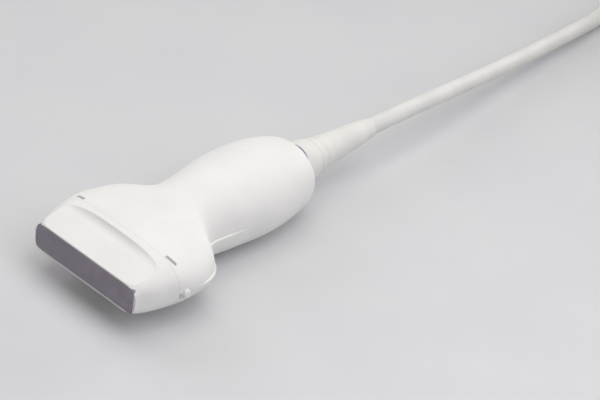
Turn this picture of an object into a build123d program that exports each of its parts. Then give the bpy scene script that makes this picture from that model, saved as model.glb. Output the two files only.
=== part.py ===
"""A hand-held linear-array ultrasound probe with its cable and system connector.

Millimetres, +Z up. The probe lies on its belly with its length along X: the lens looks along -X and the
cable leaves along +X. The origin is under the middle of the probe, on the surface that it lies on.
Most pieces are drawn in the probe's own frame, where X starts at the front face of the nose and Z at the
parting plane of the two handle shells, and are then set down on the surface."""
import math
import os

from build123d import *

# Probe body: outer sizes at its main sections, and where each section lies behind the nose face
NOSE_WIDTH = 53.4
NOSE_HEIGHT = 13.0
HEAD_PLACE = 26.0
HEAD_WIDTH = 65.6
HEAD_HEIGHT = 24.0
NECK_PLACE = 50.0
NECK_WIDTH = 33.2
NECK_HEIGHT = 29.2
GRIP_PLACE = 79.0
GRIP_WIDTH = 40.4
GRIP_HEIGHT = 32.6
BODY_LENGTH = 109.7
REAR_WIDTH = 20.4
REAR_HEIGHT = 20.2
REAR_LEAN_SHARE = 0.1  # how far the rear rim leans forward for each unit of height
LEAN_START = 95.0

# How square each section is: the handle of a quarter curve as a share of its half size
NOSE_SQUARE_SHARE = 0.95
HEAD_SQUARE_SHARE = 0.66
GRIP_SQUARE_SHARE = 0.60
REAR_SQUARE_SHARE = 0.56
QUARTER_POINTS = 5  # points that carry each quarter of a section

# Sections between two main ones: how far along, then how far width, height and squareness have gone
NOSE_TO_HEAD_SHARES = [(0.25, 0.31, 0.56, 0.25), (0.50, 0.58, 0.82, 0.45), (0.71, 0.82, 0.945, 0.65)]
HEAD_TO_NECK_SHARES = [
    (0.29, 0.10, 0.10, 0.6),
    (0.44, 0.20, 0.24, 0.8),
    (0.54, 0.33, 0.36, 0.9),
    (0.65, 0.58, 0.50, 1.0),
    (0.76, 0.84, 0.66, 1.0),
    (0.88, 0.98, 0.84, 1.0),
]
NECK_TO_GRIP_SHARES = [(0.26, 0.20, 0.42, 0.5), (0.58, 0.68, 0.84, 0.7)]
GRIP_TO_REAR_SHARES = [
    (0.30, 0.03, 0.05, 0.2),
    (0.62, 0.205, 0.21, 0.5),
    (0.83, 0.43, 0.44, 0.8),
    (0.94, 0.66, 0.68, 0.9),
]

# Shells: the seam behind the nose, the wall, and the ledge by which the lower shell stands proud
SEAM_PLACE = 17.2
SEAM_GAP = 0.07
SHELL_WALL = 2.2
REAR_WALL = 6.0
LEDGE_START = 25.0
LEDGE_RISE = 8.0
LEDGE_END = 68.0
LEDGE_FALL = 11.0
LEDGE_DEPTH = 0.9

# Nose: the flat facet, the scoop behind it, the spigot that enters the shells, and the window
FACET_DROP = 0.4
FACET_ANGLE = 13.3
SCOOP_PLACE = 11.3
SCOOP_RADIUS = 5.2
SCOOP_END_ANGLE = 68.0
SPIGOT_LENGTH = 4.0
SPIGOT_WALL = 1.4
FIT_GAP = 0.1
WINDOW_DEPTH = 15.5

# Marks beside the seam: the slots on top, and the nub and dimple on each side
SLOT_LENGTH = 5.0
SLOT_WIDTH = 1.4
SLOT_DEPTH = 1.4
SLOT_PLACE = 18.9
SLOT_OFFSET = 23.9
SLOT_TURN = 9.5
NUB_PLACE = 20.3
NUB_DROP = 1.0
NUB_LENGTH = 3.2
NUB_HEIGHT = 4.2
NUB_PROUD = 1.1
NUB_ROUNDING = 0.9
DIMPLE_PLACE = 17.95
DIMPLE_DROP = 1.9
DIMPLE_WIDTH = 1.0
DIMPLE_HEIGHT = 2.8
DIMPLE_DEPTH = 1.0

# Lens and the acoustic stack behind it
LENS_WIDTH = 50.8
LENS_HEIGHT = 10.7
LENS_CORNER = 1.1
LENS_SEAT = 1.0
LENS_CROWN = 0.9
OUTER_LAYER = 0.3
INNER_LAYER = 0.4
PIEZO_THICKNESS = 0.5
ELEMENT_COUNT = 128
ELEMENT_PITCH = 0.36
ELEMENT_KERF = 0.05
STACK_HEIGHT = 8.0
BACKING_LENGTH = 10.0
FRAME_FLANGE = 1.5
FRAME_FLANGE_WIDTH = 36.0
FRAME_FLANGE_RIM = 1.2

# Electronics inside the handle
FLEX_THICKNESS = 0.15
FLEX_WIDTH = 44.0
FLEX_LANDING = 4.5
BOARD_START = 23.0
BOARD_END = 82.0
BOARD_WIDTH = 22.0
BOARD_HEAD_LENGTH = 10.0
BOARD_THICKNESS = 1.0
BOARD_OFFSET = 5.0
BOARD_CONNECTOR_LENGTH = 6.0
BOARD_CONNECTOR_WIDTH = 16.0
BOARD_CONNECTOR_HEIGHT = 1.8
SHIELD_START = 36.0
SHIELD_GAP = 0.6
SHIELD_THICKNESS = 0.3
SHIELD_CORNER = 2.0

# Cable where the probe holds it, with its ferrule and clamp
CABLE_DIAMETER = 7.0
CORE_DIAMETER = 5.6
BUNDLE_CORNER = 4.8
ROOT_START = 90.5
FERRULE_LENGTH = 2.8
FERRULE_WALL = 0.9
CLAMP_LENGTH = 6.0
CLAMP_WIDTH = 20.0
CLAMP_HEIGHT = 13.0
CLAMP_SPLIT = 0.3
CLAMP_SCREW_OFFSET = 6.8
SCREW_DIAMETER = 2.0
SCREW_HEAD_DIAMETER = 3.6
SCREW_HEAD_HEIGHT = 1.3
SCREW_GAP = 0.05

# Identification ring and strain relief
BORE_DIAMETER = 19.0
RING_THICKNESS = 0.55
RING_LENGTH = 5.6
RING_REACH = 0.95
RING_SLANT = 25.0
RING_TURN = 22.0
COLLAR_DIAMETER = 18.6
FLANGE_DIAMETER = 21.0
FLANGE_LENGTH = 2.0
RELIEF_LENGTH = 44.8
RELIEF_TIP_DIAMETER = 8.2
RELIEF_TIP_SLOPE_SHARE = 0.12
# Along the strain relief: share of its length, share of the way from collar to tip diameter
RELIEF_SHARES = [
    (0.11, 0.10),
    (0.21, 0.27),
    (0.30, 0.41),
    (0.44, 0.57),
    (0.57, 0.65),
    (0.70, 0.73),
    (0.81, 0.81),
    (0.92, 0.92),
]
RELIEF_GROOVE_SHARES = [0.21, 0.30]
GROOVE_RADIUS = 0.6
GROOVE_DEPTH = 0.35

# Cable coil: turns two abreast and four high, tied up out of the way
COIL_CENTRE = (318.0, -9.6)
COIL_RADIUS = 35.0
TURN_PITCH = 7.2
LAYER_PITCH = 7.1
COIL_ABREAST = 2
COIL_HIGH = 4
COIL_ROUND_SHARE = 0.9  # how round the wound turns leave the coil's corners

# Free cable, from the strain relief to the coil and from the coil to the connector: where its middle
# lies in plan, and how far its underside is off the surface
BEND_SHARE = 0.45  # how much of the shorter run beside it each bend takes
LEAD_RUN = 20.3
CABLE_ROUTE = [
    (131.0, 3.3, 8.0),
    (166.0, 7.1, 3.2),
    (204.0, 9.5, 0),
    (240.0, 10.7, 0),
    (266.0, 13.0, 0),
    (284.0, 17.6, 0),
    (301.3, 25.3, 0),
]
TAIL_ROUTE = [(338.0, 23.3, 21.3), (354.0, 10.2, 20.8), (370.0, 3.0, 15.5)]
GLAND_RUN = 17.0
GLAND_PLACE = (404.0, -0.3)

# System connector at the far end, lying beside the coil
CONNECTOR_LENGTH = 66.0
CONNECTOR_WIDTH = 54.0
CONNECTOR_HEIGHT = 25.0
CONNECTOR_WALL = 2.2
CONNECTOR_CORNER = 6.0
CONNECTOR_EDGE = 1.6
COVER_HEIGHT = 10.0
GLAND_HEIGHT = 14.5
BOOT_LENGTH = 14.0
BOOT_BASE_DIAMETER = 14.0
BOOT_TIP_DIAMETER = 9.4
BOOT_FLANGE_DIAMETER = 16.5
BOOT_FLANGE_LENGTH = 2.0
RECESS_DEPTH = 3.0
RECESS_RIM = 6.0
BLOCK_HEIGHT = 3.2
PAD_ROWS = 8
PAD_COLUMNS = 14
PAD_SIZE = 1.6
PAD_PITCH = 3.0
PAD_PROUD = 0.3
BAR_CLEARANCE_DIAMETER = 15.0
CONNECTOR_BOARD_THICKNESS = 1.6
BOARD_MARGIN = 2.6
BOSS_DIAMETER = 6.0
BOSS_INSET = 6.2
COVER_SCREW_DIAMETER = 2.5
COVER_SCREW_HEAD_DIAMETER = 4.6
COVER_SCREW_HEAD_HEIGHT = 1.6
COVER_SCREW_LENGTH = 16.0
SCREW_SLOT_LENGTH = 2.4
SCREW_SLOT_WIDTH = 0.6
SCREW_SLOT_DEPTH = 0.8

# Quarter-turn lock through the connector
LOCK_SHAFT_DIAMETER = 6.0
LOCK_GAP = 0.08
LOCK_FACE_GAP = 0.3
BUSH_WALL = 1.5
BUSH_FLANGE_DIAMETER = 12.0
BUSH_FLANGE_THICKNESS = 1.0
KNOB_HUB_DIAMETER = 18.0
KNOB_LENGTH = 34.0
KNOB_WIDTH = 8.0
KNOB_HEIGHT = 9.0
KNOB_BASE_HEIGHT = 3.0
KNOB_ROUNDING = 1.5
BAR_LENGTH = 13.0
BAR_WIDTH = 4.0
BAR_THICKNESS = 1.8

OVERRUN = 5.0  # how far a cutting shape runs past what it cuts

# Places worked out from the sizes above
axis_height = GRIP_HEIGHT / 2
probe_front = -(BODY_LENGTH + RELIEF_LENGTH + LENS_CROWN) / 2 + LENS_CROWN
relief_tip = probe_front + BODY_LENGTH + RELIEF_LENGTH
cavity_end = BODY_LENGTH - REAR_WALL
cable_radius = CABLE_DIAMETER / 2
crown_radius = ((LENS_HEIGHT / 2) ** 2 + LENS_CROWN**2) / (2 * LENS_CROWN)
outer_layer_place = LENS_SEAT
inner_layer_place = outer_layer_place + OUTER_LAYER
piezo_place = inner_layer_place + INNER_LAYER
backing_place = piezo_place + PIEZO_THICKNESS
array_width = ELEMENT_COUNT * ELEMENT_PITCH
board_outside = BOARD_OFFSET + BOARD_THICKNESS / 2
connector_top = board_outside + BOARD_CONNECTOR_HEIGHT
ring_diameter = BORE_DIAMETER - 2 * SCREW_GAP
ring_bore = ring_diameter - 2 * RING_THICKNESS
clamp_place = ROOT_START + FERRULE_LENGTH + FIT_GAP
set_down = Pos(probe_front, 0, axis_height)


# Helpers
def block(start, end, width, low, high, y=0):
    """A box from start to end along X, centred on y, between two heights."""
    return Pos((start + end) / 2, y, (low + high) / 2) * Box(end - start, width, high - low)


def rod(start, end, diameter, y=0, z=0):
    """A round bar along X."""
    return Pos(start, y, z) * extrude(Plane.YZ * Circle(diameter / 2), end - start)


def pin(diameter, low, high, x=0, y=0):
    """A round bar along Z."""
    return Pos(x, y, low) * extrude(Plane.XY * Circle(diameter / 2), high - low)


def between(first, second, share):
    return first + (second - first) * share


def half_space(start, end):
    """All of the body's surroundings between two places along X."""
    return block(start, end, 2 * HEAD_WIDTH, -GRIP_HEIGHT, GRIP_HEIGHT)


def save(name, shape, place=Pos(0, 0, 0)):
    solids = [place * solid for solid in shape.solids()]
    whole = solids[0] if len(solids) == 1 else Compound(children=solids)
    export_step(whole, f"parts/{name}.step")
    print(f"{name}: {len(solids)} solids, {whole.volume:.1f} mm3")
    return whole


# Outer form of the body: smooth surfaces through square-shouldered sections
def body_stations():
    """Place, width, height and squareness of every section from the nose to the rear."""
    main = [
        (0, NOSE_WIDTH, NOSE_HEIGHT, NOSE_SQUARE_SHARE),
        (HEAD_PLACE, HEAD_WIDTH, HEAD_HEIGHT, HEAD_SQUARE_SHARE),
        (NECK_PLACE, NECK_WIDTH, NECK_HEIGHT, GRIP_SQUARE_SHARE),
        (GRIP_PLACE, GRIP_WIDTH, GRIP_HEIGHT, GRIP_SQUARE_SHARE),
        (BODY_LENGTH, REAR_WIDTH, REAR_HEIGHT, REAR_SQUARE_SHARE),
    ]
    tables = [NOSE_TO_HEAD_SHARES, HEAD_TO_NECK_SHARES, NECK_TO_GRIP_SHARES, GRIP_TO_REAR_SHARES]
    stations = []
    for first, second, table in zip(main, main[1:], tables):
        stations.append(first)
        for shares in table:
            stations.append(tuple(between(a, b, share) for a, b, share in zip(first, second, shares)))
    return stations + [main[-1]]


def section(place, half_width, half_height, square):
    """One closed section across the body, a smooth curve through points of four equal quarter curves.

    Towards the rear the sections lean, their upper side forward."""
    lean = REAR_LEAN_SHARE * max(0, (place - LEAN_START) / (BODY_LENGTH - LEAN_START))
    quarter = []
    for i in range(QUARTER_POINTS):
        t = i / QUARTER_POINTS
        flank, shoulder, crown = (1 - t) ** 3, 3 * t * (1 - t), t**3
        y = half_width * (flank + shoulder * (1 - t + t * square))
        z = half_height * (crown + shoulder * (t + (1 - t) * square))
        quarter.append((y, z))
    back = [(0, half_height)] + quarter[:0:-1]
    upper = quarter + [(-y, z) for y, z in back]
    points = upper + [(-y, -z) for y, z in upper]
    return Wire([Edge.make_spline([(place - lean * z, y, z) for y, z in points], periodic=True)])


def ledge_at(place):
    """How far the lower shell stands proud of the upper one at a place along the body."""
    share = min((place - LEDGE_START) / LEDGE_RISE, (LEDGE_END - place) / LEDGE_FALL, 1)
    share = max(share, 0)
    return LEDGE_DEPTH * math.sin(share * math.pi / 2) ** 2


def body_form(inset=0, ledge=False):
    """The body's outer form, or one that lies inside it by the inset all round."""
    wires = []
    for place, width, height, square in body_stations():
        proud = ledge_at(place) if ledge else 0
        wires.append(section(place, width / 2 + proud - inset, height / 2 - inset, square))
    return Solid.make_loft(wires)


# Nose: facet, scoop, window and spigot
def scoop_cutter():
    """What is cut from above the nose: a flat facet that turns up into a hollow, drawn on its side view."""
    slope = math.radians(FACET_ANGLE)
    rise = math.radians(SCOOP_END_ANGLE)
    facet_height = NOSE_HEIGHT / 2 - FACET_DROP
    start = (-OVERRUN, facet_height - OVERRUN * math.tan(slope))
    turn = (SCOOP_PLACE, facet_height + SCOOP_PLACE * math.tan(slope))
    centre = (turn[0] - SCOOP_RADIUS * math.sin(slope), turn[1] + SCOOP_RADIUS * math.cos(slope))
    end = (centre[0] + SCOOP_RADIUS * math.sin(rise), centre[1] - SCOOP_RADIUS * math.cos(rise))
    middle = math.radians((FACET_ANGLE + SCOOP_END_ANGLE) / 2)
    halfway = (centre[0] + SCOOP_RADIUS * math.sin(middle), centre[1] - SCOOP_RADIUS * math.cos(middle))
    clear = (end[0] + OVERRUN / math.tan(rise), end[1] + OVERRUN)
    outline = Plane.XZ * (
        Line(start, turn) + ThreePointArc(turn, halfway, end) + Line(end, clear)
        + Line(clear, (start[0], clear[1])) + Line((start[0], clear[1]), start)
    )
    return extrude(make_face(outline.edges()), HEAD_WIDTH, both=True)


def window(start, end, gap=0):
    """The lens's rounded rectangle along the nose, with a gap round it."""
    outline = Plane.YZ * RectangleRounded(LENS_WIDTH + 2 * gap, LENS_HEIGHT + 2 * gap, LENS_CORNER + gap)
    return Pos(start, 0, 0) * extrude(outline, end - start)


def flank_width(place):
    """Half the body's width at a place along it, read between its stations."""
    stations = body_stations()
    for first, second in zip(stations, stations[1:]):
        if first[0] <= place <= second[0]:
            return between(first[1], second[1], (place - first[0]) / (second[0] - first[0])) / 2
    return stations[-1][1] / 2


def nose_housing(outer):
    upper_cut = scoop_cutter()
    spigot_end = SEAM_PLACE + SPIGOT_LENGTH
    nose = outer & half_space(-OVERRUN, SEAM_PLACE - SEAM_GAP / 2)
    nose = nose - upper_cut - mirror(upper_cut, Plane.XY)
    spigot = body_form(SHELL_WALL + FIT_GAP) & half_space(SEAM_PLACE - SPIGOT_WALL, spigot_end)
    hollow = body_form(SHELL_WALL + FIT_GAP + SPIGOT_WALL) & half_space(WINDOW_DEPTH, spigot_end + OVERRUN)
    return nose + spigot - hollow - window(-OVERRUN, WINDOW_DEPTH + OVERRUN, FIT_GAP)


# Handle shells
def nub(side, gap=0):
    """The locator on one flank of the head that a clip-on bracket snaps over."""
    outline = Plane.XZ * SlotOverall(NUB_HEIGHT + 2 * gap, NUB_LENGTH + 2 * gap, rotation=90)
    reach = flank_width(NUB_PLACE) + NUB_PROUD + gap
    start = flank_width(NUB_PLACE) - SHELL_WALL / 2 - gap
    stud = Pos(NUB_PLACE, side * start, -NUB_DROP) * extrude(outline, side * (start - reach))
    if gap:
        return stud
    outer_rim = stud.edges().group_by(Axis.Y)[-1 if side > 0 else 0]
    return fillet(outer_rim, NUB_ROUNDING)


def dimple(side):
    """The small upright pit beside the nub."""
    outline = Plane.XZ * SlotOverall(DIMPLE_HEIGHT, DIMPLE_WIDTH, rotation=90)
    floor = flank_width(DIMPLE_PLACE) - DIMPLE_DEPTH
    return Pos(DIMPLE_PLACE, side * floor, -DIMPLE_DROP) * extrude(outline, side * -OVERRUN)


def top_slots():
    """The two slots behind the seam, on the upper and the lower side alike."""
    cutters = []
    for side in (1, -1):
        outline = Plane.XY * Rot(0, 0, 90 - side * SLOT_TURN) * SlotOverall(SLOT_LENGTH, SLOT_WIDTH)
        cutters.append(Pos(SLOT_PLACE, side * SLOT_OFFSET, 0) * extrude(outline, GRIP_HEIGHT, both=True))
    floor = body_form(SLOT_DEPTH)
    return [cutter - floor for cutter in cutters]


def shell_cavity():
    cavity = body_form(SHELL_WALL) & half_space(-OVERRUN, cavity_end)
    return cavity + rod(cavity_end - OVERRUN, BODY_LENGTH + OVERRUN, BORE_DIAMETER)


def clamp_saddle():
    """The rib across the lower shell's floor that carries the cable clamp."""
    rib = block(clamp_place, clamp_place + CLAMP_LENGTH, CLAMP_WIDTH, -GRIP_HEIGHT / 2, -CLAMP_HEIGHT / 2)
    return rib & body_form(SHELL_WALL / 2)


def handle_shell(outer, cavity, slots, upper):
    low, high = (0, GRIP_HEIGHT) if upper else (-GRIP_HEIGHT, 0)
    half = block(SEAM_PLACE + SEAM_GAP / 2, BODY_LENGTH + OVERRUN, 2 * HEAD_WIDTH, low, high)
    shell = (outer & half) - cavity
    for slot in slots:
        shell -= slot
    for side in (1, -1):
        shell = shell - nub(side, FIT_GAP) if upper else shell + nub(side) - dimple(side)
    return shell if upper else shell + clamp_saddle()


# Lens and acoustic stack
def acoustic_lens():
    """A silicone slab whose face is a shallow cylinder across the slice."""
    crown = extrude(Plane.XZ * Circle(crown_radius), LENS_WIDTH, both=True)
    return window(-LENS_CROWN, LENS_SEAT) & Pos(crown_radius - LENS_CROWN, 0, 0) * crown


def piezo_array():
    """The diced row: one small block for each element."""
    width = ELEMENT_PITCH - ELEMENT_KERF
    element = block(piezo_place, piezo_place + PIEZO_THICKNESS, width, -STACK_HEIGHT / 2, STACK_HEIGHT / 2)
    first = -(array_width - ELEMENT_PITCH) / 2
    return Compound(children=[Pos(0, first + i * ELEMENT_PITCH, 0) * element for i in range(ELEMENT_COUNT)])


def stack_layer(start, thickness):
    return block(start, start + thickness, array_width, -STACK_HEIGHT / 2, STACK_HEIGHT / 2)


def array_frame():
    """The aluminium carrier round the stack, with the flange that seats behind the window."""
    end = WINDOW_DEPTH + FIT_GAP
    sleeve = window(backing_place, end + FRAME_FLANGE)
    rim = LENS_HEIGHT / 2 + FRAME_FLANGE_RIM
    flange = block(end, end + FRAME_FLANGE, FRAME_FLANGE_WIDTH, -rim, rim)
    room = STACK_HEIGHT / 2 + FLEX_THICKNESS + SCREW_GAP
    return sleeve + flange - block(-OVERRUN, end + OVERRUN, array_width + 2 * FIT_GAP, -room, room)


def flex_circuit(side):
    """A thin strip that leaves the stack along the backing and lands on its board."""
    start = piezo_place
    bend = WINDOW_DEPTH + FRAME_FLANGE + 3 * FIT_GAP
    low = STACK_HEIGHT / 2
    landing = BOARD_START + FLEX_LANDING
    points = [(start, low), (bend, low), (BOARD_START, board_outside), (landing, board_outside)]
    back = [(x, z + FLEX_THICKNESS) for x, z in reversed(points)]
    strip = extrude(Plane.XZ * make_face(Polyline(*points, *back, close=True)), FLEX_WIDTH / 2, both=True)
    return strip if side > 0 else mirror(strip, Plane.XY)


# Electronics, shield and cable root
def circuit_board(side):
    low = side * BOARD_OFFSET - BOARD_THICKNESS / 2
    head = block(BOARD_START, BOARD_START + BOARD_HEAD_LENGTH, FLEX_WIDTH, low, low + BOARD_THICKNESS)
    return head + block(BOARD_START, BOARD_END, BOARD_WIDTH, low, low + BOARD_THICKNESS)


def board_connectors():
    """One connector at the rear of each board, where the coax ribbons plug on."""
    start = BOARD_END - BOARD_CONNECTOR_LENGTH
    upper = block(start, BOARD_END, BOARD_CONNECTOR_WIDTH, board_outside, connector_top)
    return Compound(children=[upper, mirror(upper, Plane.XY)])


def emi_shield():
    """The folded copper can round both boards, open at its two ends."""
    width = BOARD_WIDTH + 2 * SHIELD_GAP
    height = 2 * (connector_top + SHIELD_GAP)
    skin = SHIELD_THICKNESS
    sleeve = RectangleRounded(width + 2 * skin, height + 2 * skin, SHIELD_CORNER + skin)
    sleeve -= RectangleRounded(width, height, SHIELD_CORNER)
    return Pos(SHIELD_START, 0, 0) * extrude(Plane.YZ * sleeve, BOARD_END - SHIELD_START)


def coax_bundle():
    """The coax cores drawn together from the two connectors to the cable."""
    start = BOARD_END + FIT_GAP
    ribbon = RectangleRounded(BOARD_CONNECTOR_WIDTH, 2 * connector_top, BUNDLE_CORNER)
    core = Pos(ROOT_START, 0, 0) * (Plane.YZ * Circle(CORE_DIAMETER / 2))
    return loft([Pos(start, 0, 0) * (Plane.YZ * ribbon), core])


def cable_root():
    """The end of the jacket that the clamp and the strain relief hold straight."""
    return rod(ROOT_START, BODY_LENGTH + RELIEF_LENGTH, CABLE_DIAMETER)


def braid_ferrule():
    bore = CABLE_DIAMETER + 2 * SCREW_GAP
    ring = rod(ROOT_START, ROOT_START + FERRULE_LENGTH, bore + 2 * FERRULE_WALL)
    return ring - rod(ROOT_START - OVERRUN, clamp_place + OVERRUN, bore)


def cable_clamp(upper):
    """Half of the clamp: a block with half of the cable's bore and two screw holes."""
    low, high = (CLAMP_SPLIT / 2, CLAMP_HEIGHT / 2) if upper else (-CLAMP_HEIGHT / 2, -CLAMP_SPLIT / 2)
    half = block(clamp_place, clamp_place + CLAMP_LENGTH, CLAMP_WIDTH, low, high)
    half -= rod(clamp_place - OVERRUN, clamp_place + CLAMP_LENGTH + OVERRUN, CABLE_DIAMETER + 2 * SCREW_GAP)
    middle = clamp_place + CLAMP_LENGTH / 2
    for side in (1, -1):
        hole = SCREW_DIAMETER + 2 * SCREW_GAP
        half -= pin(hole, -CLAMP_HEIGHT, CLAMP_HEIGHT, middle, side * CLAMP_SCREW_OFFSET)
    return half


def clamp_screws():
    screws = []
    middle = clamp_place + CLAMP_LENGTH / 2
    for side in (1, -1):
        y = side * CLAMP_SCREW_OFFSET
        shank = pin(SCREW_DIAMETER, -CLAMP_HEIGHT / 2 + SCREW_GAP, CLAMP_HEIGHT / 2, middle, y)
        head = pin(SCREW_HEAD_DIAMETER, CLAMP_HEIGHT / 2, CLAMP_HEIGHT / 2 + SCREW_HEAD_HEIGHT, middle, y)
        screws.append((shank + head).solid())
    return Compound(children=screws)


# Rear of the handle: ring and strain relief
def slanted_space(gap=0):
    """All that lies behind the slanted rear end of the ring, which is widest on top, a little to one side."""
    middle = BODY_LENGTH + RING_REACH - ring_diameter / 2 * math.tan(math.radians(RING_SLANT))
    space = block(0, 2 * BODY_LENGTH, 2 * HEAD_WIDTH, -HEAD_WIDTH, HEAD_WIDTH)
    return Pos(middle + gap, 0, 0) * Rot(RING_TURN, 0, 0) * Rot(0, RING_SLANT, 0) * space


def id_ring():
    start = BODY_LENGTH - RING_LENGTH
    ring = rod(start, BODY_LENGTH + OVERRUN, ring_diameter)
    ring -= rod(start - OVERRUN, BODY_LENGTH + 2 * OVERRUN, ring_bore)
    return ring - slanted_space()


def strain_relief():
    """A turned form: flange, a neck through the wall, a shoulder that meets the ring, then the long taper."""
    flange_end = cavity_end - FIT_GAP
    flange_start = flange_end - FLANGE_LENGTH
    flange = FLANGE_DIAMETER / 2
    collar = COLLAR_DIAMETER / 2
    tip = RELIEF_TIP_DIAMETER / 2
    bore = cable_radius + SCREW_GAP
    end = BODY_LENGTH + RELIEF_LENGTH
    flank = []
    for along, narrowed in RELIEF_SHARES:
        flank.append((between(BODY_LENGTH, end, along), between(collar, tip, narrowed)))
    outline = Polyline(
        (end, tip), (end, bore), (flange_start, bore), (flange_start, flange), (flange_end, flange),
        (flange_end, collar), (BODY_LENGTH, collar),
    )
    directions = [(1, 0), (1, -RELIEF_TIP_SLOPE_SHARE)]
    outline += Spline((BODY_LENGTH, collar), *flank, (end, tip), tangents=directions)
    body = revolve(make_face(Plane.XZ * outline), Axis.X)
    around_neck = rod(flange_end, BODY_LENGTH + OVERRUN, FLANGE_DIAMETER)
    around_neck -= rod(cavity_end - OVERRUN, BODY_LENGTH + 2 * OVERRUN, ring_bore - 2 * SCREW_GAP)
    body -= around_neck - slanted_space(SCREW_GAP)
    for (along, _), (place, radius) in zip(RELIEF_SHARES, flank):
        if along in RELIEF_GROOVE_SHARES:
            groove = Torus(radius + GROOVE_RADIUS - GROOVE_DEPTH, GROOVE_RADIUS)
            body -= Pos(place, 0, 0) * Rot(0, 90, 0) * groove
    return body


# Free cable and coil, in the frame of the whole part
def cord_radii(points):
    """The radius of the bend at each inner point of a route."""
    radii = []
    for before, here, after in zip(points, points[1:], points[2:]):
        first, second = Vector(*here) - Vector(*before), Vector(*after) - Vector(*here)
        turn = math.radians(first.get_angle(second))
        radii.append(BEND_SHARE * min(first.length, second.length) / math.tan(turn / 2))
    return radii


def raised(points):
    """The cable's middle over route points that give its underside."""
    return [(x, y, lift + cable_radius) for x, y, lift in points]


def cord_tube(name, points):
    radii = cord_radii(points)
    print(f"{name} bends:", [round(radius, 1) for radius in radii])
    path = FilletPolyline(*points, radius=radii)
    start = Plane(origin=path @ 0, z_dir=path % 0)
    tube = sweep(start * Circle(cable_radius), path=path)
    plain_volume = math.pi * cable_radius**2 * path.length
    print(f"{name}: volume over section times length {tube.volume / plain_volume:.4f}")
    return tube, path.length


def cable_coil():
    """The outer shape of the wound turns: a ring two turns wide and four turns high."""
    width = CABLE_DIAMETER + (COIL_ABREAST - 1) * TURN_PITCH
    height = CABLE_DIAMETER + (COIL_HIGH - 1) * LAYER_PITCH
    outline = Plane.XZ * RectangleRounded(width, height, cable_radius * COIL_ROUND_SHARE)
    return Pos(*COIL_CENTRE, 0) * revolve(Pos(COIL_RADIUS, 0, height / 2) * outline, Axis.Z)


# System connector: drawn from its gland at X 0, resting on Z 0
def connector_outline(inset, low, high):
    """The connector's rounded plan, inside its outer wall by the inset, between two heights."""
    length, width = CONNECTOR_LENGTH - 2 * inset, CONNECTOR_WIDTH - 2 * inset
    corner = CONNECTOR_CORNER - min(inset, CONNECTOR_CORNER - CONNECTOR_EDGE)
    plan = RectangleRounded(length, width, corner)
    return Pos(CONNECTOR_LENGTH / 2, 0, low) * extrude(Plane.XY * plan, high - low)


def boss_places():
    along = CONNECTOR_LENGTH / 2 - BOSS_INSET
    across = CONNECTOR_WIDTH / 2 - BOSS_INSET
    return [(CONNECTOR_LENGTH / 2 + i * along, j * across) for i in (1, -1) for j in (1, -1)]


def gland_cut():
    """The hole in the end wall that the boot's neck passes, shared by base and cover."""
    return rod(-OVERRUN, CONNECTOR_WALL + FIT_GAP, BOOT_BASE_DIAMETER + 2 * SCREW_GAP, 0, GLAND_HEIGHT)


def recess_cut(high):
    """The shallow well in the underside where the contact field faces the machine."""
    return connector_outline(RECESS_RIM, -OVERRUN, high)


def connector_base():
    """The lower tray: floor with the contact well, side walls and four screw bosses."""
    top = CONNECTOR_HEIGHT - COVER_HEIGHT
    floor_top = RECESS_DEPTH + BLOCK_HEIGHT
    tray = connector_outline(0, 0, top)
    bottom_rim = tray.edges().group_by(Axis.Z)[0]
    tray = fillet(bottom_rim, CONNECTOR_EDGE)
    tray -= connector_outline(CONNECTOR_WALL, floor_top, top + OVERRUN)
    for x, y in boss_places():
        tray += pin(BOSS_DIAMETER, floor_top, top, x, y)
        tray -= pin(COVER_SCREW_DIAMETER + 2 * SCREW_GAP, floor_top, top + OVERRUN, x, y)
    return tray - recess_cut(floor_top + OVERRUN) - gland_cut()


def connector_cover():
    """The upper shell: a lid with its bush hole and counterbored screw holes."""
    low = CONNECTOR_HEIGHT - COVER_HEIGHT
    lid = connector_outline(0, low, CONNECTOR_HEIGHT)
    lid = fillet(lid.edges().group_by(Axis.Z)[-1], CONNECTOR_EDGE)
    lid -= connector_outline(CONNECTOR_WALL, low - OVERRUN, CONNECTOR_HEIGHT - CONNECTOR_WALL)
    for x, y in boss_places():
        lid += pin(BOSS_DIAMETER, low, CONNECTOR_HEIGHT - CONNECTOR_WALL, x, y)
        lid -= pin(COVER_SCREW_DIAMETER + 2 * SCREW_GAP, low - OVERRUN, CONNECTOR_HEIGHT + OVERRUN, x, y)
        sink = CONNECTOR_HEIGHT - COVER_SCREW_HEAD_HEIGHT
        lid -= pin(COVER_SCREW_HEAD_DIAMETER + 2 * FIT_GAP, sink, CONNECTOR_HEIGHT + OVERRUN, x, y)
    bush_hole = LOCK_SHAFT_DIAMETER + 2 * (LOCK_GAP + BUSH_WALL + SCREW_GAP)
    lid -= pin(bush_hole, low, CONNECTOR_HEIGHT + OVERRUN, CONNECTOR_LENGTH / 2, 0)
    return lid - gland_cut()


def connector_screws():
    screws = []
    for x, y in boss_places():
        top = CONNECTOR_HEIGHT
        seat = top - COVER_SCREW_HEAD_HEIGHT
        head = pin(COVER_SCREW_HEAD_DIAMETER, seat, top, x, y)
        slot = Pos(x, y, top) * Box(SCREW_SLOT_LENGTH, SCREW_SLOT_WIDTH, 2 * SCREW_SLOT_DEPTH)
        shank = pin(COVER_SCREW_DIAMETER, seat - COVER_SCREW_LENGTH, seat, x, y)
        screws.append((head + shank - slot).solid())
    return Compound(children=screws)


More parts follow.
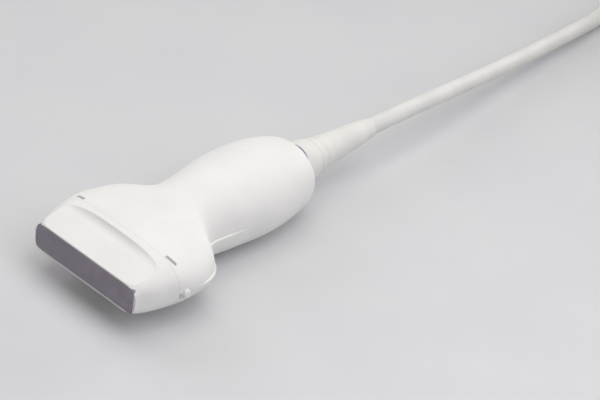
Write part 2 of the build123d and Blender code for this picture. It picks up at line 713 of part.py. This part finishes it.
def connector_boot():
    """A short tapered boot with its flange inside the connector's end wall."""
    base, tip, flange = BOOT_BASE_DIAMETER / 2, BOOT_TIP_DIAMETER / 2, BOOT_FLANGE_DIAMETER / 2
    inside = CONNECTOR_WALL + 2 * FIT_GAP
    end = inside + BOOT_FLANGE_LENGTH
    bore = cable_radius + SCREW_GAP
    outline = Polyline(
        (-BOOT_LENGTH, bore), (-BOOT_LENGTH, tip), (0, base), (inside, base), (inside, flange), (end, flange),
        (end, bore), close=True,
    )
    return Pos(0, 0, GLAND_HEIGHT) * revolve(make_face(Plane.XZ * outline), Axis.X)


def tail_root():
    """The cable's last stretch, straight through the boot into the connector."""
    end = CONNECTOR_WALL + 2 * FIT_GAP + 2 * BOOT_FLANGE_LENGTH
    return rod(-BOOT_LENGTH, end, CABLE_DIAMETER, 0, GLAND_HEIGHT)


def contact_block():
    """The insulating plate that fills the well and carries the contacts, open in the middle for the lock."""
    plate = connector_outline(RECESS_RIM + SCREW_GAP, RECESS_DEPTH, RECESS_DEPTH + BLOCK_HEIGHT)
    return plate - pin(BAR_CLEARANCE_DIAMETER, 0, CONNECTOR_HEIGHT, CONNECTOR_LENGTH / 2, 0)


def contact_pads():
    """Gold pads in rows on the underside of the block, none where the lock needs its room."""
    pads = []
    keep_out = BAR_CLEARANCE_DIAMETER / 2 + PAD_SIZE
    for row in range(PAD_ROWS):
        for column in range(PAD_COLUMNS):
            x = (column - (PAD_COLUMNS - 1) / 2) * PAD_PITCH
            y = (row - (PAD_ROWS - 1) / 2) * PAD_PITCH
            if math.hypot(x, y) > keep_out:
                low = RECESS_DEPTH - PAD_PROUD
                pads.append(block(x - PAD_SIZE / 2, x + PAD_SIZE / 2, PAD_SIZE, low, RECESS_DEPTH, y))
    return Compound(children=[Pos(CONNECTOR_LENGTH / 2, 0, 0) * pad for pad in pads])


def connector_board():
    low = RECESS_DEPTH + BLOCK_HEIGHT
    board = connector_outline(CONNECTOR_WALL + BOARD_MARGIN, low, low + CONNECTOR_BOARD_THICKNESS)
    for x, y in boss_places():
        board -= pin(BOSS_DIAMETER + 2 * FIT_GAP, 0, CONNECTOR_HEIGHT, x, y)
    room = LOCK_SHAFT_DIAMETER + 2 * (LOCK_GAP + BUSH_WALL + FIT_GAP)
    return board - pin(room, 0, CONNECTOR_HEIGHT, CONNECTOR_LENGTH / 2, 0)


# Quarter-turn lock: drawn on the Z axis, then set through the connector's middle
def lock_bush():
    """The flanged sleeve that the shaft turns in, from the cover down to the board."""
    low = RECESS_DEPTH + BLOCK_HEIGHT
    outside = LOCK_SHAFT_DIAMETER + 2 * (LOCK_GAP + BUSH_WALL)
    sleeve = pin(outside, low, CONNECTOR_HEIGHT)
    flange_top = CONNECTOR_HEIGHT - CONNECTOR_WALL - SCREW_GAP
    flange = pin(BUSH_FLANGE_DIAMETER, flange_top - BUSH_FLANGE_THICKNESS, flange_top)
    return sleeve + flange - pin(LOCK_SHAFT_DIAMETER + 2 * LOCK_GAP, 0, CONNECTOR_HEIGHT + OVERRUN)


def lock_shaft():
    return pin(LOCK_SHAFT_DIAMETER, RECESS_DEPTH, CONNECTOR_HEIGHT + LOCK_FACE_GAP)


def lock_bar():
    """The cross bar at the shaft's foot that turns under the machine's catch."""
    bar = extrude(Plane.XY * SlotOverall(BAR_LENGTH, BAR_WIDTH), BAR_THICKNESS)
    return Pos(0, 0, RECESS_DEPTH - BAR_THICKNESS) * bar


def lock_knob():
    """The turn handle: a low round hub with a raised grip across it."""
    low = CONNECTOR_HEIGHT + LOCK_FACE_GAP
    hub = pin(KNOB_HUB_DIAMETER, low, low + KNOB_BASE_HEIGHT)
    grip = Pos(0, 0, low) * extrude(Plane.XY * SlotOverall(KNOB_LENGTH, KNOB_WIDTH), KNOB_HEIGHT)
    knob = hub + grip
    return fillet(knob.edges().group_by(Axis.Z)[-1], KNOB_ROUNDING)


# Build every piece and write it out
def build_probe():
    outer = body_form()
    cavity, slots = shell_cavity(), top_slots()
    save("nose_housing", nose_housing(outer), set_down)
    save("top_shell", handle_shell(outer, cavity, slots, True), set_down)
    save("bottom_shell", handle_shell(body_form(ledge=True), cavity, slots, False), set_down)
    save("acoustic_lens", acoustic_lens(), set_down)
    save("matching_layer_outer", stack_layer(outer_layer_place, OUTER_LAYER), set_down)
    save("matching_layer_inner", stack_layer(inner_layer_place, INNER_LAYER), set_down)
    save("piezo_array", piezo_array(), set_down)
    save("backing_block", stack_layer(backing_place, BACKING_LENGTH), set_down)
    save("array_frame", array_frame(), set_down)
    save("flex_circuit_top", flex_circuit(1), set_down)
    save("flex_circuit_bottom", flex_circuit(-1), set_down)
    save("circuit_board_top", circuit_board(1), set_down)
    save("circuit_board_bottom", circuit_board(-1), set_down)
    save("board_connectors", board_connectors(), set_down)
    save("emi_shield", emi_shield(), set_down)
    save("coax_bundle", coax_bundle(), set_down)
    save("cable_root", cable_root(), set_down)
    save("braid_ferrule", braid_ferrule(), set_down)
    save("cable_clamp_upper", cable_clamp(True), set_down)
    save("cable_clamp_lower", cable_clamp(False), set_down)
    save("clamp_screws", clamp_screws(), set_down)
    save("id_ring", id_ring(), set_down)
    save("strain_relief", strain_relief(), set_down)


def build_cord():
    gland_x, gland_y = GLAND_PLACE
    lead = [(relief_tip, 0, axis_height), (relief_tip + LEAD_RUN, 0, axis_height)]
    entry = [(gland_x - GLAND_RUN, gland_y, GLAND_HEIGHT), (gland_x, gland_y, GLAND_HEIGHT)]
    cable, cable_length = cord_tube("cable", lead + raised(CABLE_ROUTE))
    tail, tail_length = cord_tube("cable_tail", raised(TAIL_ROUTE) + entry)
    save("cable", cable)
    save("cable_tail", tail)
    save("cable_coil", cable_coil())
    print(f"free cable {cable_length:.0f} mm, tail {tail_length:.0f} mm")


def build_connector():
    gland_x, gland_y = GLAND_PLACE
    place = Pos(gland_x + BOOT_LENGTH, gland_y, 0)
    lock_place = place * Pos(CONNECTOR_LENGTH / 2, 0, 0)
    save("connector_base", connector_base(), place)
    save("connector_cover", connector_cover(), place)
    save("connector_screws", connector_screws(), place)
    save("connector_boot", connector_boot(), place)
    save("tail_root", tail_root(), place)
    save("contact_block", contact_block(), place)
    save("contact_pads", contact_pads(), place)
    save("connector_board", connector_board(), place)
    save("lock_bush", lock_bush(), lock_place)
    save("lock_shaft", lock_shaft(), lock_place)
    save("lock_bar", lock_bar(), lock_place)
    save("lock_knob", lock_knob(), lock_place)


os.makedirs("parts", exist_ok=True)
build_probe()
build_cord()
build_connector()
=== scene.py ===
"""A linear-array ultrasound probe on a pale studio floor, seen from its lens end.

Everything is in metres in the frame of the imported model: X runs from the lens to the cable, Z is up and
the probe lies on Z 0. The sections follow the probe as it is put together, from the lens back to the
connector at the far end of its cable, and the studio comes last."""
import math

import bpy
from mathutils import Matrix, Vector


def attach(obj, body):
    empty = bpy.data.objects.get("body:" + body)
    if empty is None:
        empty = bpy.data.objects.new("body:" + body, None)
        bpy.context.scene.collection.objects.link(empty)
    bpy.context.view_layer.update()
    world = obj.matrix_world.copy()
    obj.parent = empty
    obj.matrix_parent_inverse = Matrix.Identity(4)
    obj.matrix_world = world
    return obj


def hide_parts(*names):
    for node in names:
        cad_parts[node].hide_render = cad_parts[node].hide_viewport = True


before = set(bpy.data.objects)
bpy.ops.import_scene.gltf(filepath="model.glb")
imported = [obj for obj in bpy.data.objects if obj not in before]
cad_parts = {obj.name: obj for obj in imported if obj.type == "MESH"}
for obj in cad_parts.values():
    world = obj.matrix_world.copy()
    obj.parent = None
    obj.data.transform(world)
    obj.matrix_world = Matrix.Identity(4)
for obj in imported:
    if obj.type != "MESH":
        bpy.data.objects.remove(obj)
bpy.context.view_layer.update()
MM = 0.001


# Acoustic lens: a slab of room-temperature-curing silicone, cast on the array and bonded in the window.
# It is grey with a violet cast, close to matt, with the faint mottle of a filled rubber.
def linear(hex_colour):
    """An sRGB hex colour as linear red, green, blue and a full alpha."""
    channels = [int(hex_colour[i : i + 2], 16) / 255 for i in (1, 3, 5)]
    curve = [c / 12.92 if c <= 0.04045 else ((c + 0.055) / 1.055) ** 2.4 for c in channels]
    return (*curve, 1.0)


def add(tree, kind, settings=None, **sockets):
    """Adds a node, sets its properties and its inputs, and links the inputs that are given as outputs."""
    node = tree.nodes.new(kind)
    for name, value in (settings or {}).items():
        setattr(node, name, value)
    for name, value in sockets.items():
        plug = node.inputs[int(name[1:])] if name[0] == "_" else node.inputs[name.replace("_", " ")]
        if isinstance(value, bpy.types.NodeSocket):
            tree.links.new(value, plug)
        else:
            plug.default_value = value
    return node


def start_material(name):
    """An empty material with its shader and output, and the position on the object in millimetres."""
    material = bpy.data.materials.new(name)
    material.use_nodes = True
    tree = material.node_tree
    tree.nodes.clear()
    shader = add(tree, "ShaderNodeBsdfPrincipled")
    add(tree, "ShaderNodeOutputMaterial", Surface=shader.outputs[0])
    place = add(tree, "ShaderNodeTexCoord")
    millimetres = add(tree, "ShaderNodeVectorMath", {"operation": "SCALE"}, _0=place.outputs["Object"])
    millimetres.inputs["Scale"].default_value = 1 / MM
    return material, tree, shader, millimetres.outputs[0]


def mottle(tree, shader, at, light, dark, patch):
    """Lets the colour drift between two tones in patches of a size in millimetres."""
    noise = add(tree, "ShaderNodeTexNoise", Vector=at, Scale=1 / patch, Detail=3.0, Roughness=0.55)
    ramp = add(tree, "ShaderNodeValToRGB", Fac=noise.outputs["Fac"])
    low, high = ramp.color_ramp.elements
    dark_until, light_from = 0.35, 0.65
    low.position, high.position = dark_until, light_from
    low.color, high.color = linear(dark), linear(light)
    tree.links.new(ramp.outputs["Color"], shader.inputs["Base Color"])


def skin(tree, shader, at, grain, depth, rough):
    """Gives the surface its grain: bumps of a size and depth in millimetres, and gloss between two values."""
    noise = add(tree, "ShaderNodeTexNoise", Vector=at, Scale=1 / grain, Detail=2.0, Roughness=0.5)
    bump = add(tree, "ShaderNodeBump", Height=noise.outputs["Fac"], Strength=1.0, Distance=depth * MM)
    tree.links.new(bump.outputs["Normal"], shader.inputs["Normal"])
    gloss = add(tree, "ShaderNodeMapRange", Value=noise.outputs["Fac"], To_Min=rough[0], To_Max=rough[1])
    tree.links.new(gloss.outputs["Result"], shader.inputs["Roughness"])


def dress(material, *nodes):
    """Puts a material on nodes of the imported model, which keep their own meshes."""
    for name in nodes:
        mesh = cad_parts[name].data
        mesh.materials.clear()
        mesh.materials.append(material)


lens_silicone, tree, shader, at = start_material("lens_silicone")
shader.inputs["IOR"].default_value = 1.41
mottle(tree, shader, at, "#948C97", "#8A828C", patch=6.0)
skin(tree, shader, at, grain=0.5, depth=0.01, rough=(0.38, 0.5))
dress(lens_silicone, "acoustic_lens")

# Matching layers: two thin sheets of epoxy filled with metal oxide, ground flat between lens and ceramic.
# The filler shows as a fine speckle in a dull brown-grey resin.
filled_resin, tree, shader, at = start_material("filled_resin")
mottle(tree, shader, at, "#6E6A5C", "#4A463C", patch=0.2)
skin(tree, shader, at, grain=0.2, depth=0.01, rough=(0.5, 0.7))
dress(filled_resin, "matching_layer_outer", "matching_layer_inner")

# Piezo array: a bar of ceramic, fired, ground and sawn into separate elements. Fired ceramic is pale buff and
# dry, with a fine speckle of pores.
piezo_ceramic, tree, shader, at = start_material("piezo_ceramic")
mottle(tree, shader, at, "#B9AE92", "#9A8F74", patch=0.3)
skin(tree, shader, at, grain=0.1, depth=0.005, rough=(0.45, 0.6))
dress(piezo_ceramic, "piezo_array")

# Backing: heavy tungsten-loaded rubber, cast behind the elements to soak up the sound. Nearly black, with
# a soft grainy surface.
backing_rubber, tree, shader, at = start_material("backing_rubber")
mottle(tree, shader, at, "#2B2B2D", "#1C1C1E", patch=0.8)
skin(tree, shader, at, grain=0.3, depth=0.03, rough=(0.75, 0.9))
dress(backing_rubber, "backing_block")

# Array frame: a milled aluminium carrier that holds the stack square in the nose window. The cutter leaves
# fine straight lines along it.
def band_scale(width):
    """The scale at which a wave texture repeats once in a width in millimetres."""
    return math.pi / 10 / width


CUTTER_STEP = 0.4
milled_aluminium, tree, shader, at = start_material("milled_aluminium")
shader.inputs["Metallic"].default_value = 1.0
mottle(tree, shader, at, "#C9CACC", "#B4B5B8", patch=4.0)
banded = {"bands_direction": "X"}
cuts = add(tree, "ShaderNodeTexWave", banded, Vector=at, Scale=band_scale(CUTTER_STEP), Distortion=0.4)
lines = add(tree, "ShaderNodeBump", Height=cuts.outputs["Fac"], Strength=0.4, Distance=0.01 * MM)
tree.links.new(lines.outputs["Normal"], shader.inputs["Normal"])
shader.inputs["Roughness"].default_value = 0.32
dress(milled_aluminium, "array_frame")

# Flex circuits: copper tracks on amber polyimide film, bonded to the elements and folded back to the boards.
# The tracks run along the strip, one for each element, and show as fine stripes through the film.
TRACK_PITCH = 0.36
polyimide_film, tree, shader, at = start_material("polyimide_film")
track = add(tree, "ShaderNodeTexWave", {"bands_direction": "Y"}, Vector=at, Scale=band_scale(TRACK_PITCH))
tone = add(tree, "ShaderNodeValToRGB", Fac=track.outputs["Fac"])
tone.color_ramp.elements[0].color, tone.color_ramp.elements[1].color = linear("#A65A12"), linear("#D8902E")
tree.links.new(tone.outputs["Color"], shader.inputs["Base Color"])
shader.inputs["Roughness"].default_value = 0.35
dress(polyimide_film, "flex_circuit_top", "flex_circuit_bottom")

# Circuit boards: woven glass laminate under green solder resist, in the handle and in the connector.
# The weave shows faintly through the lacquer.
THREAD_SPACING = 0.5
board_laminate, tree, shader, at = start_material("board_laminate")
mottle(tree, shader, at, "#1F6B3E", "#17552F", patch=3.0)
weave = add(tree, "ShaderNodeTexChecker", Vector=at, Scale=1 / THREAD_SPACING)
cloth = add(tree, "ShaderNodeBump", Height=weave.outputs["Fac"], Strength=0.2, Distance=0.01 * MM)
tree.links.new(cloth.outputs["Normal"], shader.inputs["Normal"])
shader.inputs["Roughness"].default_value = 0.3
dress(board_laminate, "circuit_board_top", "circuit_board_bottom", "connector_board")

# Board connectors and the connector's contact plate: black glass-filled polymer, moulded. The glass gives
# it a dry, faintly clouded surface.
filled_polymer, tree, shader, at = start_material("filled_polymer")
mottle(tree, shader, at, "#232326", "#19191B", patch=1.5)
skin(tree, shader, at, grain=0.25, depth=0.02, rough=(0.5, 0.65))
dress(filled_polymer, "board_connectors", "contact_block")

# Shield: thin copper sheet, folded round the boards and soldered along its edge. Handled copper is warm and
# unevenly tarnished.
copper_sheet, tree, shader, at = start_material("copper_sheet")
shader.inputs["Metallic"].default_value = 1.0
mottle(tree, shader, at, "#D9936B", "#A9623F", patch=7.0)
skin(tree, shader, at, grain=2.0, depth=0.03, rough=(0.28, 0.5))
dress(copper_sheet, "emi_shield")

# Coax bundle: more than a hundred hair-thin cores in pale polymer sleeves, drawn together to the cable.
# They lie side by side, so the bundle looks finely ribbed along its length.
CORE_DIAMETER = 0.26
core_sleeve, tree, shader, at = start_material("core_sleeve")
mottle(tree, shader, at, "#A9ACB6", "#868A96", patch=1.0)
banded = {"bands_direction": "Y"}
cores = add(tree, "ShaderNodeTexWave", banded, Vector=at, Scale=band_scale(CORE_DIAMETER), Distortion=1.0)
ribs = add(tree, "ShaderNodeBump", Height=cores.outputs["Fac"], Strength=0.7, Distance=0.1 * MM)
tree.links.new(ribs.outputs["Normal"], shader.inputs["Normal"])
shader.inputs["Roughness"].default_value = 0.55
dress(core_sleeve, "coax_bundle")

# Ferrule, lock bush and contact pads: turned or stamped brass with a thin gold plate, which stays bright
# and warm with only slight unevenness.
plated_brass, tree, shader, at = start_material("plated_brass")
shader.inputs["Metallic"].default_value = 1.0
mottle(tree, shader, at, "#E3C27A", "#CFA95C", patch=2.0)
skin(tree, shader, at, grain=0.4, depth=0.004, rough=(0.2, 0.32))
dress(plated_brass, "braid_ferrule", "lock_bush", "contact_pads")

# Clamp, screws, lock shaft and cross bar: stainless steel, turned or milled and left bare. The tool's fine
# marks spread its reflections.
bare_steel, tree, shader, at = start_material("bare_steel")
shader.inputs["Metallic"].default_value = 1.0
mottle(tree, shader, at, "#BFC0C2", "#A6A8AB", patch=2.5)
skin(tree, shader, at, grain=0.3, depth=0.006, rough=(0.26, 0.4))
dress(bare_steel, "cable_clamp_upper", "cable_clamp_lower", "clamp_screws")
dress(bare_steel, "connector_screws", "lock_shaft", "lock_bar")

# Nose and handle shells: injection-moulded medical-grade white plastic, bonded along the parting line.
# The tool is finely blasted, so the surface is satin with a grain of a few tenths of a millimetre.
housing_plastic, tree, shader, at = start_material("housing_plastic")
shader.inputs["IOR"].default_value = 1.5
mottle(tree, shader, at, "#ECEBE7", "#E7E6E3", patch=18.0)
skin(tree, shader, at, grain=0.35, depth=0.006, rough=(0.5, 0.6))
dress(housing_plastic, "nose_housing", "top_shell", "bottom_shell")

# Marker clip: a C-shaped coloured band that tells one probe from another, snapped into the rear bore.
# Violet-grey moulded plastic, dull because it sits in the shade of the bore.
ring_plastic, tree, shader, at = start_material("ring_plastic")
mottle(tree, shader, at, "#8A84A2", "#7A7490", patch=4.0)
skin(tree, shader, at, grain=0.3, depth=0.008, rough=(0.4, 0.55))
dress(ring_plastic, "id_ring")

# Strain relief and connector boot: soft white thermoplastic rubber, moulded over the cable. It is a touch
# warmer and duller than the shells.
relief_rubber, tree, shader, at = start_material("relief_rubber")
mottle(tree, shader, at, "#E6E5E0", "#DFDED9", patch=12.0)
skin(tree, shader, at, grain=0.3, depth=0.008, rough=(0.42, 0.55))
dress(relief_rubber, "strain_relief", "connector_boot")

# Cable: a multi-coax lead in an extruded white jacket, smooth but for a ripple that softens its highlights.
# It leaves the relief straight, sinks to the table and runs to a wound coil, then on to its connector.
CABLE_DIAMETER = 7.0 * MM
cable_jacket, tree, shader, at = start_material("cable_jacket")
mottle(tree, shader, at, "#E3E2DD", "#DCDBD7", patch=15.0)
skin(tree, shader, at, grain=0.8, depth=0.01, rough=(0.38, 0.48))
dress(cable_jacket, "cable_root", "tail_root")

LEAD_OUT = [
    (0.0777, 0.0, 0.0163),
    (0.098, 0.0, 0.0163),
    (0.131, 0.0014, 0.0134),
    (0.166, 0.0032, 0.0102),
    (0.204, 0.0056, 0.0072),
    (0.240, 0.0082, 0.0048),
    (0.266, 0.0113, 0.0036),
    (0.284, 0.0176, 0.0035),
]
LEAD_ON = [
    (0.354, 0.0102, 0.0243),
    (0.370, 0.003, 0.019),
    (0.387, -0.0003, 0.0145),
    (0.404, -0.0003, 0.0145),
]
COIL_CENTRE = (0.318, -0.0096)
COIL_LANES = (38.6 * MM, 31.4 * MM)
COIL_LEVEL = 7.1 * MM
COIL_SLOTS = [(0, 0), (1, 0), (1, 1), (0, 1), (0, 2), (1, 2), (1, 3), (0, 3)]
COIL_TURNS = 7.15
COIL_START = math.radians(115.5)
POINTS_A_TURN = 16
LEVEL_SHARE = 0.8


def coil_points():
    """The wound turns: two abreast and four high, each level for its first share, then easing to the next."""
    points = []
    count = round(COIL_TURNS * POINTS_A_TURN)
    last = len(COIL_SLOTS) - 1
    middle_x, middle_y = COIL_CENTRE
    for i in range(count + 1):
        share = i / count
        wound = share * len(COIL_SLOTS)
        slot = min(int(wound), last)
        lane, level = COIL_SLOTS[slot]
        next_lane, next_level = COIL_SLOTS[min(slot + 1, last)]
        ease = max(0.0, (wound - slot - LEVEL_SHARE) / (1 - LEVEL_SHARE))
        ease = ease * ease * (3 - 2 * ease)
        radius = COIL_LANES[lane] * (1 - ease) + COIL_LANES[next_lane] * ease
        corner = radius / math.cos(math.pi / POINTS_A_TURN)
        height = CABLE_DIAMETER / 2 + COIL_LEVEL * (level * (1 - ease) + next_level * ease)
        angle = COIL_START - share * COIL_TURNS * 2 * math.pi
        points.append((middle_x + corner * math.cos(angle), middle_y + corner * math.sin(angle), height))
    return points


route = LEAD_OUT + coil_points() + LEAD_ON
curve = bpy.data.curves.new("probe_cable", "CURVE")
curve.dimensions = "3D"
line = curve.splines.new("NURBS")
line.points.add(len(route) - 1)
for point, place in zip(line.points, route):
    point.co = (*place, 1.0)
line.use_endpoint_u = True
line.order_u = 3
line.resolution_u = 8
curve.bevel_depth = CABLE_DIAMETER / 2
curve.bevel_resolution = 8
curve.materials.append(cable_jacket)
cable = bpy.data.objects.new("probe_cable", curve)
bpy.context.scene.collection.objects.link(cable)
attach(cable, "probe")
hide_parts("cable", "cable_coil", "cable_tail")

# Connector housing: two moulded halves in the same white as the probe, but with the coarser grain of a part
# that is only handled when it is plugged in.
connector_plastic, tree, shader, at = start_material("connector_plastic")
mottle(tree, shader, at, "#E2E1DE", "#DAD9D6", patch=14.0)
skin(tree, shader, at, grain=0.5, depth=0.02, rough=(0.45, 0.6))
dress(connector_plastic, "connector_base", "connector_cover")

# Lock knob: slate-grey moulded plastic with a satin grain that gives the fingers hold. It is pinned to the
# shaft, which carries the cross bar in the recess underneath.
knob_plastic, tree, shader, at = start_material("knob_plastic")
mottle(tree, shader, at, "#6B7079", "#5C6169", patch=5.0)
skin(tree, shader, at, grain=0.4, depth=0.015, rough=(0.35, 0.5))
dress(knob_plastic, "lock_knob")

# Studio: one pale floor that stands in for the table, matt and of one tone. About half a metre out it starts
# to fade to the plain tone of the surround, but only for the camera, reflections and clear pieces, so the
# light that it throws back on the probe stays the same.
floor_finish, tree, shader, at = start_material("studio_floor")
mottle(tree, shader, at, "#D4D4D5", "#D1D1D3", patch=60.0)
shader.inputs["Roughness"].default_value = 0.85
shader.inputs["Specular IOR Level"].default_value = 0.2


def seen_rays(tree):
    """1 for what the camera, a reflection or a clear piece sees, and 0 for light that falls on the probe."""
    rays = add(tree, "ShaderNodeLightPath").outputs
    larger = {"operation": "MAXIMUM"}
    seen = add(tree, "ShaderNodeMath", larger, _0=rays["Is Camera Ray"], _1=rays["Is Glossy Ray"])
    seen = add(tree, "ShaderNodeMath", larger, _0=seen.outputs[0], _1=rays["Is Transmission Ray"])
    return seen.outputs[0]


FADE_START, FADE_END = 450.0, 1000.0
SURROUND_TONE = linear("#C4C4C6")
reach = add(tree, "ShaderNodeVectorMath", {"operation": "LENGTH"}, _0=at)
far = add(
    tree, "ShaderNodeMapRange", {"interpolation_type": "SMOOTHSTEP"}, Value=reach.outputs["Value"],
    From_Min=FADE_START, From_Max=FADE_END,
)
fade = add(tree, "ShaderNodeMath", {"operation": "MULTIPLY"}, _0=far.outputs["Result"], _1=seen_rays(tree))
plain = add(tree, "ShaderNodeEmission", Color=SURROUND_TONE)
faded = add(tree, "ShaderNodeMixShader", _0=fade.outputs[0], _1=shader.outputs[0], _2=plain.outputs[0])
tree.links.new(faded.outputs[0], tree.nodes["Material Output"].inputs["Surface"])
floor_mesh = bpy.data.meshes.new("studio_floor")
FLOOR_HALF = 6.0
corners = [(x * FLOOR_HALF, y * FLOOR_HALF, 0) for x, y in ((-1, -1), (1, -1), (1, 1), (-1, 1))]
floor_mesh.from_pydata(corners, [], [(0, 1, 2, 3)])
floor_mesh.materials.append(floor_finish)
floor = bpy.data.objects.new("studio_floor", floor_mesh)
FLOOR_DROP = 0.2 * MM
floor.location.z = -FLOOR_DROP
bpy.context.scene.collection.objects.link(floor)

# Camera: a long lens from above the lens end, turned a little on its own axis as the photograph is. Its place
# follows from the bearing, the distance and how far the probe lies off the middle of the frame, in pixels.
AIM = Vector((-26.8, 0.0, 16.3)) * MM
AZIMUTH, ELEVATION, ROLL = math.radians(-51.936), math.radians(34.744), math.radians(8.996)
DISTANCE = 800 * MM
PIXELS_PER_METRE = 2.676 / MM
SHIFT_ACROSS, SHIFT_UP = -116.077, -19.167
FRAME_WIDTH = 600
outward = Vector((math.sin(AZIMUTH), -math.cos(AZIMUTH), 0))
back = outward * math.cos(ELEVATION) + Vector((0, 0, math.sin(ELEVATION)))
level = Vector((math.cos(AZIMUTH), math.sin(AZIMUTH), 0))
upright = back.cross(level)
right = level * math.cos(ROLL) + upright * math.sin(ROLL)
up = upright * math.cos(ROLL) - level * math.sin(ROLL)
lens = bpy.data.cameras.new("camera")
lens.sensor_width = 36.0
lens.lens = PIXELS_PER_METRE * DISTANCE * lens.sensor_width / FRAME_WIDTH
camera = bpy.data.objects.new("camera", lens)
offset = right * (SHIFT_ACROSS / PIXELS_PER_METRE) + up * (SHIFT_UP / PIXELS_PER_METRE)
turned = Matrix((right, up, back)).transposed().to_4x4()
camera.matrix_world = Matrix.Translation(AIM + back * DISTANCE - offset) @ turned
bpy.context.scene.collection.objects.link(camera)
bpy.context.scene.camera = camera

# Light: soft boxes all round the table, the nearer ones weaker. They leave the top bright, the near flank a
# soft grey and the shadow deepest under the nose. A row gives a lamp's height over the handle and its bearing
# from the cable's side, both in degrees, then its distance, width, power and tint.
LAMPS = [
    ("overhead", 90, 0, 0.8, 0.8, 2.5, "#FEFFF9"),
    ("near_overhead", 62, 270, 0.8, 0.6, 1.9, "#FDFCFF"),
    ("far_overhead", 62, 60, 1.5, 1.2, 3.4, "#FDFFFA"),
    ("near_side_box", 35, 270, 0.8, 0.6, 1.9, "#F8F6FF"),
    ("far_side_box", 32, 90, 1.5, 1.0, 6.7, "#FDF7FF"),
    ("lens_side_box", 35, 180, 0.8, 0.6, 0.8, "#FFFDFD"),
    ("cable_side_box", 12, 0, 1.5, 0.8, 6.1, "#FEFFFE"),
]
LIT_POINT = Vector((0, 0, 0.016))
for name, height, bearing, distance, width, power, tint in LAMPS:
    light = bpy.data.lights.new(name, "AREA")
    light.shape, light.size, light.energy = "DISK", width, power
    light.color = linear(tint)[:3]
    rise, turn = math.radians(height), math.radians(bearing)
    away = Vector((math.cos(rise) * math.cos(turn), math.cos(rise) * math.sin(turn), math.sin(rise)))
    lamp = bpy.data.objects.new(name, light)
    lamp.location = LIT_POINT + away * distance
    lamp.rotation_euler = away.to_track_quat("Z", "Y").to_euler()
    bpy.context.scene.collection.objects.link(lamp)
world = bpy.data.worlds.new("surround")
world.use_nodes = True
surround = world.node_tree.nodes["Background"]
surround.inputs["Color"].default_value = SURROUND_TONE
world.node_tree.links.new(seen_rays(world.node_tree), surround.inputs["Strength"])
bpy.context.scene.world = world
bpy.context.scene.view_settings.view_transform = "Standard"
